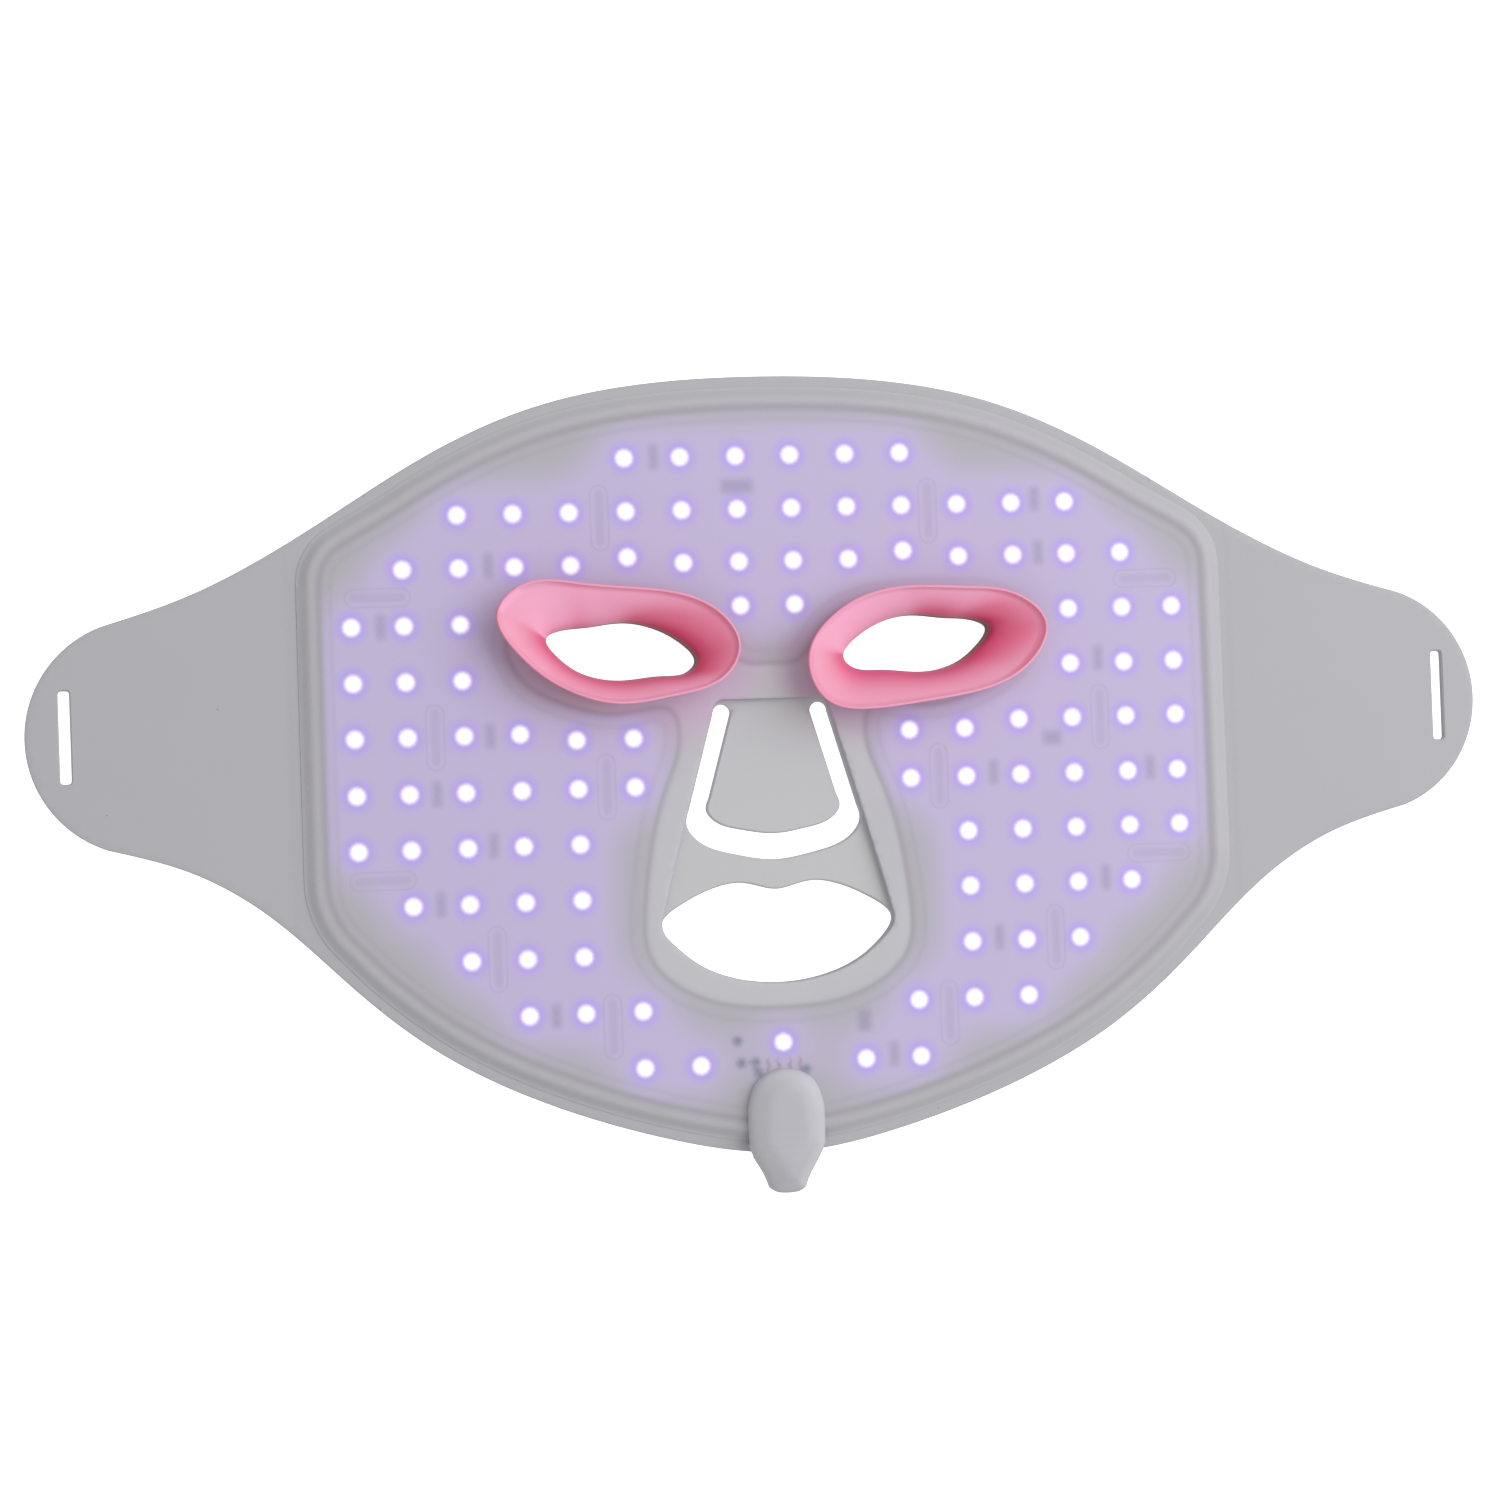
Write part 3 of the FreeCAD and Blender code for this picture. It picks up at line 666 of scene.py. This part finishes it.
def make_wing(word, flip):
    outline = sheet_edge()
    outer = outline[outline[:, 0] > SHEET_END + 0.3]
    upper_end, lower_end = wing_seam(outline)
    end = even([(SHEET_END, lower_end), (SHEET_END, upper_end)], 1.5)
    slot = rounded_box(*STRAP_SLOT, STRAP_SLOT_CORNER)
    edge = np.vstack([end[-1:], outer, end[:1]])
    extra = rows_along(edge, THIN_ROWS, 0.4) + rows_along(slot, (0.4,), 0.3, True)
    height = rounded_top([(edge, SHEET_ROUND, False), (slot, STRAP_SLOT_ROUND, True)])
    return plate(f"{word}_wing_skin", [join(end[-1:], outer, end), slot], extra, height,
                 flat_bottom, sheet_fields, spacing=1.8, flip=flip)


def make_flap():
    top = FLAP_FOLD[0]
    radius = (SLOT_OUTER - SLOT_INNER) / 2
    side = nose_side((SLOT_INNER, SLOT_END), FLAP_FOOT)
    end = arc(SLOT_INNER + radius, SLOT_END, radius, 0, 180, 0.4)
    half = join([(0, top)], open_curve([(0, top), (SLOT_OUTER, top)]),
                open_curve([(SLOT_OUTER, top), (SLOT_OUTER, SLOT_END)], 0.6), end, side)
    loop = join(half, np.array(mirrored(half[::-1])))
    row = offset(side, -0.4)
    extra = [(row, 0.4), (np.array(mirrored(row)), 0.4)]
    height = rounded_top([(np.vstack([end, side]), SHEET_ROUND, False)])
    return plate("nose_flap_skin", [loop], extra, height, flat_bottom, sheet_fields, spacing=1.2)


# The eye cups.

# How fast a cup flares out towards its rim, then its points around and its sizes.
FLARE = 2.5
CUP_AROUND = 192
CUP_WALL = 1.6
CUP_COLLAR = 2.4
CUP_LIP = 0.4
CUP_START = 0.3
CUP_FOOT = COVER_TOP + 0.3
UNDER_SAG = 0.8
# Towards the main light, and towards the brow.
KEY_DIRECTION = Vector((0.97, 0.24, 0.0)).normalized()
BROWWARDS = Vector((0, 1, 0))


def cup_rows(word):
    """The rows of a cup, from the bottom of its opening: places, height and how deep each lies."""
    shares = np.linspace(0, len(EYE), CUP_AROUND, endpoint=False)
    eye_in = closed_shares(EYE, shares)
    eye_out = offset(eye_in, CUP_WALL, True)
    rim_out = closed_shares(CUP_RIMS[word], shares)
    rim_in = offset(rim_out, -2 * CUP_LIP, True)
    rise = CUP_RIM - CUP_LIP - CUP_FOOT
    rows = [(eye_in, CUP_START, 1.0), (eye_in, CUP_FOOT - 1.5, 1.0), (eye_in, CUP_FOOT - 0.3, 1.0)]
    for share in np.linspace(0.03, 1, 19):
        rows.append((eye_in + (rim_in - eye_in) * share ** FLARE, CUP_FOOT + rise * share, 1 - share))
    middle = (rim_in + rim_out) / 2
    for turn in np.radians([30, 60, 90, 120, 150]):
        reach = middle + (rim_in - middle) * math.cos(turn)
        rows.append((reach, CUP_RIM - CUP_LIP + CUP_LIP * math.sin(turn), 0.0))
    for share in np.linspace(1, 0.08, 15):
        sag = (CUP_WALL - 2 * CUP_LIP) * math.sin(math.pi * share) * UNDER_SAG
        reach = eye_out + (rim_out - eye_out) * share ** FLARE
        rows.append((reach, CUP_FOOT + rise * share - sag, 1 - share))
    ledge = offset(eye_out, CUP_COLLAR, True)
    for reach, height in ((eye_out + (ledge - eye_out) * 0.85, CUP_FOOT + 0.3), (ledge, CUP_FOOT + 0.2),
                          (ledge, CUP_FOOT), (eye_out, CUP_FOOT), (eye_out, CUP_START)):
        rows.append((reach, height, 1.0))
    return rows


def make_cup(side, word):
    """A soft cup as one closed surface: up its inside, round its thin rim and down its outside."""
    rows = cup_rows(word)
    vertices, deep = [], []
    for row, height, depth in rows:
        vertices += [(side * x, y, height) for x, y in row]
        deep += [depth] * CUP_AROUND
    faces = []
    for number in range(len(rows)):
        low, high = number * CUP_AROUND, (number + 1) % len(rows) * CUP_AROUND
        for step in range(CUP_AROUND):
            ahead = (step + 1) % CUP_AROUND
            face = (low + step, low + ahead, high + ahead, high + step)
            faces.append(face if side > 0 else face[::-1])
    cup = make_object(f"{word}_cup_skin", vertices, faces, {"deep": deep})
    # How far each point faces away from the main light and away from the brow, for the finish's painted
    # shade and painted light.
    for name, direction in (("away", KEY_DIRECTION), ("brow", BROWWARDS)):
        turned = [max(0.0, -each.normal.dot(direction)) for each in cup.data.vertices]
        add_field(cup.data, name, turned)
    smooth(cup, 60)
    return cup


# The cord boot.

BOOT_STEPS = (-93.0, -95.8)
BOOT_RIBS = (-89.5, -91.6, -93.7, -95.8)
BOOT_RIB_REACH = 5
BOOT_RIB_DEPTH = 0.05
BOOT_FLOOR = 0.3
BOOT_ROUND = 6.5
BOOT_ROUND_SHARE = 0.68
BOOT_TAPER_START = -95
BOOT_TAPER_LENGTH = 10.5
BOOT_TAPER_DROP = 1.4
BOOT_HALF = 9.3
BOOT_CROWN = [(0, -73.5), (7.4, -76.6), (9.9, -83)]
BOOT_SIDE = [(9.9, -83), (10, -88), (9.8, -93)]
BOOT_TAIL = [(9.8, -93), (8.9, -95.2), (5.6, -101.2), (4.5, -104.2)]
BOOT_END = [(4.5, -104.2), (3.2, -105.1), (1.2, -105.5), (0, -105.55)]


def boot_plan():
    half = join(right_half(open_curve(both_halves(BOOT_CROWN), 0.6)), open_curve(BOOT_SIDE, 0.6),
                open_curve(BOOT_TAIL, 0.6), open_curve(BOOT_END, 0.4))
    return join(half, np.array(mirrored(half[::-1])))


def make_boot():
    plan = boot_plan()

    def top(flat):
        ribs = sum(bump(flat[:, 1] - height, 0.5) for height in BOOT_RIBS)
        ribs = ribs * (np.abs(flat[:, 0]) < BOOT_RIB_REACH)
        tail = np.clip((BOOT_TAPER_START - flat[:, 1]) / BOOT_TAPER_LENGTH, 0, 1)
        crown = quarter_round(distance(flat, plan, True), BOOT_ROUND) * BOOT_ROUND_SHARE
        return BOOT_TOP - BOOT_TAPER_DROP * tail ** 2 - crown - BOOT_RIB_DEPTH * ribs

    def bottom(flat):
        low = np.where(flat[:, 1] > BOOT_STEPS[0], COVER_TOP, SHEET_TOP)
        return np.where(flat[:, 1] > BOOT_STEPS[1], low, BOOT_FLOOR)

    def fields(flat):
        return {"from_rim": distance(flat, plan, True)}

    extra = rows_along(plan, (-0.12, -0.35, -0.8, -1.5, -2.4), 0.35, True)
    across = np.linspace(-BOOT_HALF, BOOT_HALF, 32)
    for height in BOOT_STEPS:
        for shift in (0.04, -0.04):
            extra.append((np.column_stack([across, np.full(len(across), height + shift)]), 0.3))
    return plate("cord_boot_skin", [plan], extra, top, bottom, fields, spacing=0.7)


# Finishes.

class Wire:
    """A socket or number in one material, so that shader maths reads as plain expressions."""

    def __init__(self, paint, socket):
        self.paint = paint
        self.socket = socket

    def maths(self, operation, *values):
        return self.paint.node("ShaderNodeMath", {"operation": operation}, dict(enumerate(values)))

    def __add__(self, other):
        return self.maths("ADD", self, other)

    def __sub__(self, other):
        return self.maths("SUBTRACT", self, other)

    def __mul__(self, other):
        return self.maths("MULTIPLY", self, other)

    def __radd__(self, other):
        return self.maths("ADD", other, self)

    def __rsub__(self, other):
        return self.maths("SUBTRACT", other, self)

    def __rmul__(self, other):
        return self.maths("MULTIPLY", other, self)

    def line(self, place, width):
        """One on the line where this distance equals place, falling to nothing beside it."""
        away = (self - place) * (1 / width)
        return self.maths("EXPONENT", away * away * -1)

    def step(self, start, end):
        """Nothing before start, one past end, smooth between."""
        return self.paint.node("ShaderNodeMapRange", {"interpolation_type": "SMOOTHSTEP"},
                               {"Value": self, "From Min": start, "From Max": end})


class Paint:
    """One procedural material."""

    def __init__(self, name, **constants):
        self.material = bpy.data.materials.new(name)
        self.material.use_nodes = True
        self.tree = self.material.node_tree
        self.shader = self.tree.nodes["Principled BSDF"]
        for socket, value in constants.items():
            self.shader.inputs[socket.replace("_", " ")].default_value = value

    def node(self, kind, settings, inputs, output=0):
        """One node: its settings come first, then the values or links of its sockets."""
        made = self.tree.nodes.new(kind)
        for setting, value in settings.items():
            setattr(made, setting, value)
        for socket, value in inputs.items():
            self.connect(made.inputs[socket], value)
        return Wire(self, made.outputs[output])

    def connect(self, socket, value):
        if isinstance(value, Wire):
            self.tree.links.new(value.socket, socket)
        else:
            socket.default_value = value

    def field(self, name):
        """A value that the mesh carries."""
        return self.node("ShaderNodeAttribute", {"attribute_name": name}, {}, "Fac")

    def noise(self, scale, detail=2.0):
        place = self.node("ShaderNodeTexCoord", {}, {}, "Object")
        return self.node("ShaderNodeTexNoise", {}, {"Vector": place, "Scale": scale, "Detail": detail})

    def specks(self, scale, size):
        """One in rare small round specks."""
        place = self.node("ShaderNodeTexCoord", {}, {}, "Object")
        cells = self.node("ShaderNodeTexVoronoi", {}, {"Vector": place, "Scale": scale})
        return 1 - cells.step(size * 0.6, size)

    def mix(self, low, high, share):
        """One colour turning into another."""
        return self.node("ShaderNodeMix", {"data_type": "RGBA"}, {0: share, 6: low, 7: high}, 2)

    def set(self, **links):
        for socket, value in links.items():
            self.connect(self.shader.inputs[socket.replace("_", " ")], value)

    def grain(self, height, strength, depth):
        """A fine relief from a height value."""
        relief = self.node("ShaderNodeBump", {},
                           {"Strength": strength, "Distance": depth * MM, "Height": height})
        self.set(Normal=relief)


def tone(red, green, blue):
    """A colour from its 0 to 255 screen values."""
    linear = []
    for part in (red, green, blue):
        share = part / 255
        linear.append(share / 12.92 if share <= 0.04045 else ((share + 0.055) / 1.055) ** 2.4)
    return (*linear, 1.0)


GREY = tone(183, 181, 187)
PALE_GREY = tone(198, 197, 203)
LAVENDER = tone(200, 188, 222)
VIOLET = tone(190, 166, 250)
# A dark grey for painted shade in grooves and along the wing's fold, for the board's edges under the
# cover, and for specks in the silicone.
SHADE_AND_SPECK = tone(120, 114, 128)
CUP_GLOW = tone(206, 160, 202)
WHITE = tone(255, 252, 255)
BLACK = (0.0, 0.0, 0.0, 1.0)

# Darker lines on the cover, over the board's edges and slots that show through it, with painted shade
# in the grooves there and at the lip's edge: the distance each follows, its place there, its width and
# strength.
COVER_LINES = [
    ("from_edge", POCKET_LINE, 1.0, 0.24),
    ("from_edge", FAINT_LINE, 0.7, 0.08),
    ("from_island", 0.0, 0.9, 0.2),
    ("from_island", 3.6, 0.7, 0.08),
    ("from_slot", 2.3, 0.3, 0.12),
    ("from_lip", 0.0, 0.3, 0.2),
]
# Blurred marks of what lies under the cover: full up to the first distance, gone at the second,
# with a strength and a colour.
COVER_MARKS = [
    ("from_part", -0.9, 2.1, 0.34, tone(108, 100, 142)),
    ("from_joint", 0.1, 2.3, 0.6, tone(74, 92, 128)),
    ("from_wire", 0.1, 1.0, 0.4, tone(150, 84, 96)),
]
# Painted glow of each lamp on the cover: where its violet halo, then its white emitting disc, fade from
# full to none, as distances from its centre.
HALO = (1.6, 5.8)
DISC = (0.9, 3.05)
FINE_GRAIN = 900.0


def silicone(name, **constants):
    return Paint(name, Roughness=0.5, Specular_IOR_Level=0.3, **constants)


def mottle(paint, colour, amount=0.25):
    """Large faint clouds in a colour."""
    clouds = paint.noise(45.0)
    return paint.mix(colour, GREY, clouds.step(0.45, 0.75) * amount)


def cover_finish():
    paint = silicone("cover_silicone_look", Emission_Strength=0.5)
    edge = paint.field("from_edge")
    island = paint.field("from_island")
    lamp = paint.field("from_lamp")
    panel = edge.step(4.8, 6.8) * island.step(-0.6, 1.2)
    colour = paint.mix(GREY, PALE_GREY, 1 - island.step(-1.0, 0.5))
    # Painted light: the band over the cover's rounded edge is made paler.
    colour = paint.mix(colour, PALE_GREY, (1 - edge.step(3.0, 5.0)) * 0.35)
    colour = mottle(paint, colour)
    # Painted glow: the cover tinted pink towards the eye cups.
    near_cup = 1 - paint.field("from_cup").step(2.0, 17.0)
    colour = paint.mix(colour, CUP_GLOW, near_cup * 0.5)
    # Painted light: the lamps' glow tints the cover lavender over the board, with a violet halo round
    # each lamp.
    colour = paint.mix(colour, LAVENDER, panel * paint.field("glow").step(0.1, 1.3))
    colour = paint.mix(colour, VIOLET, panel * (1 - lamp.step(*HALO)) * 0.9)
    # Darker along the relief slots and the lines: the board's slots and edges showing through the
    # cover, partly painted shade in their grooves.
    dark = (1 - paint.field("from_slot").step(0.4, 1.8)) * 0.13
    for field, place, width, strength in COVER_LINES:
        dark = dark + paint.field(field).line(place, width) * strength
    colour = paint.mix(colour, SHADE_AND_SPECK, dark)
    for field, near, far, strength, mark in COVER_MARKS:
        colour = paint.mix(colour, mark, (1 - paint.field(field).step(near, far)) * strength)
    # Painted light: a white emitting disc on each lamp, where it shines through the cover.
    disc = 1 - lamp.step(*DISC)
    paint.set(Base_Color=paint.mix(colour, WHITE, disc), Emission_Color=paint.mix(BLACK, WHITE, disc))
    paint.grain(paint.noise(FINE_GRAIN), 0.12, 0.05)
    return paint.material


def sheet_finish():
    paint = silicone("sheet_silicone_look")
    thin = 1 - paint.field("from_middle").step(26.0, 44.0)
    colour = paint.mix(mottle(paint, tone(184, 184, 188)), tone(199, 199, 202), thin)
    # Painted shade: a faint dark band along the wing's fold.
    colour = paint.mix(colour, SHADE_AND_SPECK, paint.field("from_fold").line(0.0, 0.8) * 0.06)
    # Dark specks in the silicone.
    colour = paint.mix(colour, SHADE_AND_SPECK, paint.specks(60.0, 0.02) * 0.5)
    paint.set(Base_Color=colour)
    paint.grain(paint.noise(FINE_GRAIN), 0.12, 0.05)
    return paint.material


def cup_finish():
    """Pink with painted shade, deepening into the opening and most on the side away from the main
    light, and painted light on walls that face down, under the brow.
    """
    paint = Paint("cup_silicone_look", Roughness=0.42, Specular_IOR_Level=0.4)
    deep = paint.field("deep")
    away = paint.field("away")
    light, middle = tone(242, 162, 190), tone(224, 99, 138)
    pale, full = tone(255, 180, 212), tone(232, 80, 120)
    crimson, darkest = tone(190, 26, 70), tone(104, 16, 42)
    # Painted shade: darker pink deeper into the opening.
    colour = paint.mix(light, middle, deep.step(0.0, 0.6) * 0.95)
    # Painted light: paler where the surface faces down, as on the inner wall under the brow, unless it
    # faces away from the main light.
    painted_light_under_brow = paint.field("brow").step(0.0, 0.35) * (1 - away.step(0.2, 0.6))
    colour = paint.mix(colour, pale, painted_light_under_brow)
    # Painted shade: fuller pink, then crimson deep in the opening, on the side away from the main
    # light, and darkest at the bottom of the opening.
    colour = paint.mix(colour, full, away.step(0.08, 0.32) * deep.step(-0.35, 0.3) * 0.62)
    colour = paint.mix(colour, crimson, deep.step(0.55, 0.93) * away.step(0.1, 0.6))
    colour = paint.mix(colour, darkest, deep.step(0.965, 0.995))
    # Faint clouds of darker pink in the silicone.
    colour = paint.mix(colour, middle, paint.noise(60.0).step(0.5, 0.8) * 0.15)
    paint.set(Base_Color=colour)
    paint.grain(paint.noise(1200.0), 0.1, 0.04)
    return paint.material


def boot_finish():
    paint = Paint("boot_silicone_look", Roughness=0.38, Specular_IOR_Level=0.45)
    rim = paint.field("from_rim")
    colour = paint.mix(tone(206, 207, 212), tone(190, 189, 196), rim.step(0.5, 4.0))
    paint.set(Base_Color=mottle(paint, colour, 0.15))
    paint.grain(paint.noise(FINE_GRAIN), 0.1, 0.05)
    return paint.material


def plain_finish(name, colour, other, scale, **constants):
    paint = Paint(name, **constants)
    paint.set(Base_Color=paint.mix(colour, other, paint.noise(scale).step(0.35, 0.65)))
    return paint.material


INNER_FINISHES = {
    "board_film": (tone(186, 112, 42), tone(170, 98, 34), 220.0, {"Roughness": 0.4}),
    "lamp": (tone(246, 240, 210), tone(236, 226, 186), 700.0, {"Roughness": 0.3}),
    "chip": (tone(36, 36, 38), tone(48, 48, 50), 900.0, {"Roughness": 0.5}),
    "solder": (tone(176, 178, 180), tone(150, 152, 156), 900.0, {"Roughness": 0.3, "Metallic": 1.0}),
    "clamp": (tone(150, 152, 156), tone(130, 132, 136), 500.0, {"Roughness": 0.35, "Metallic": 1.0}),
    "wire_dark": (tone(30, 30, 32), tone(40, 40, 42), 500.0, {"Roughness": 0.5}),
    "wire_red": (tone(170, 30, 30), tone(150, 24, 24), 500.0, {"Roughness": 0.5}),
    "wire_violet": (tone(96, 60, 140), tone(84, 50, 126), 500.0, {"Roughness": 0.5}),
    "wire_teal": (tone(30, 120, 130), tone(24, 106, 116), 500.0, {"Roughness": 0.5}),
}


def paint_inner_parts():
    """Finishes for the parts inside the mask, on the frame's own meshes."""
    finishes = {}
    for name, (colour, other, scale, constants) in INNER_FINISHES.items():
        finishes[name] = plain_finish(f"{name}_look", colour, other, scale, **constants)
    for name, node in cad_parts.items():
        if node.hide_render:
            continue
        for number, material in enumerate(node.data.materials):
            key = material.name.split(".")[0]
            node.data.materials[number] = finishes[key]


# Build.

def dress(piece, material, slot, *nodes):
    piece.data.materials.append(material)
    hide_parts(*nodes)


def blend_sideways(piece):
    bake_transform(piece)


def make_skins():
    cover_look, sheet_look, cup_look = cover_finish(), sheet_finish(), cup_finish()
    for side, word in ((1, "right"), (-1, "left")):
        flip = side < 0
        cover = make_cover(word, flip)
        blend_sideways(cover)
        dress(cover, cover_look, "cover_silicone", "face_cover", f"{word}_face_cover")
        sheet = make_sheet(word, flip)
        blend_sideways(sheet)
        dress(sheet, sheet_look, "sheet_silicone", "back_sheet", f"{word}_back_sheet")
        wing = make_wing(word, flip)
        blend_sideways(wing)
        dress(wing, sheet_look, "sheet_silicone", f"{word}_wing")
        cup = make_cup(side, word)
        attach(cup, f"{word}_eye_cup")
        dress(cup, cup_look, "cup_silicone", f"{word}_eye_cup")
    flap = make_flap()
    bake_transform(flap)
    dress(flap, sheet_look, "sheet_silicone", "nose_flap")
    boot = make_boot()
    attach(boot, "centre")
    dress(boot, boot_finish(), "boot_silicone", "cord_boot")


make_skins()
paint_inner_parts()


# Stage: a pale floor, soft light and the camera.

CAMERA_DISTANCE = 1036.34
CAMERA_SHIFT = (-5.3, 1.35)
CAMERA_AIM_Y = 7.35
CAMERA_TURNS = ((2.06, "Z"), (-1.13, "X"), (9.30, "Y"))


def make_floor():
    bpy.ops.mesh.primitive_plane_add(size=8.0, location=(0, 0, -0.0003))
    floor = bpy.context.object
    floor.name = "pale_floor"
    paint = Paint("pale_floor_look", Roughness=1.0, Specular_IOR_Level=0.0, Emission_Color=WHITE,
                  Emission_Strength=0.9)
    paint.set(Base_Color=paint.mix(tone(250, 250, 251), tone(252, 252, 252), paint.noise(4.0)))
    floor.data.materials.append(paint.material)
    floor.visible_diffuse = False
    floor.visible_glossy = False


def make_light(name, place, width, watts):
    """A square lamp that faces the middle of the mask."""
    lamp = bpy.data.lights.new(name, "AREA")
    lamp.shape = "SQUARE"
    lamp.size = width
    lamp.energy = watts
    holder = bpy.data.objects.new(name, lamp)
    holder.location = place
    holder.rotation_euler = (-Vector(place)).to_track_quat("-Z", "Y").to_euler()
    bpy.context.scene.collection.objects.link(holder)


def make_sky(strength):
    world = bpy.data.worlds.new("soft_room")
    world.use_nodes = True
    sky = world.node_tree.nodes["Background"]
    sky.inputs["Color"].default_value = (1.0, 1.0, 1.0, 1.0)
    sky.inputs["Strength"].default_value = strength
    bpy.context.scene.world = world


def make_camera():
    """Almost straight above, leaning towards the left side."""
    turn = Matrix.Identity(3)
    for degrees, axis in CAMERA_TURNS:
        turn = turn @ Matrix.Rotation(math.radians(degrees), 3, axis)
    facing = turn.transposed()
    place = facing @ Vector((*CAMERA_SHIFT, CAMERA_DISTANCE)) + Vector((0, CAMERA_AIM_Y, 0))
    lens = bpy.data.cameras.new("camera")
    lens.lens = 96.0
    lens.sensor_width = 36.0
    camera = bpy.data.objects.new("camera", lens)
    camera.matrix_world = Matrix.Translation(place * MM) @ facing.to_4x4()
    bpy.context.scene.collection.objects.link(camera)
    bpy.context.scene.camera = camera


make_floor()
make_light("key_light", place=(1.05, 0.45, 1.15), width=1.7, watts=18.5)
make_light("fill_light", place=(-0.7, -0.6, 1.5), width=1.8, watts=3.2)
make_sky(0.48)
make_camera()
bpy.context.scene.view_settings.view_transform = "Standard"
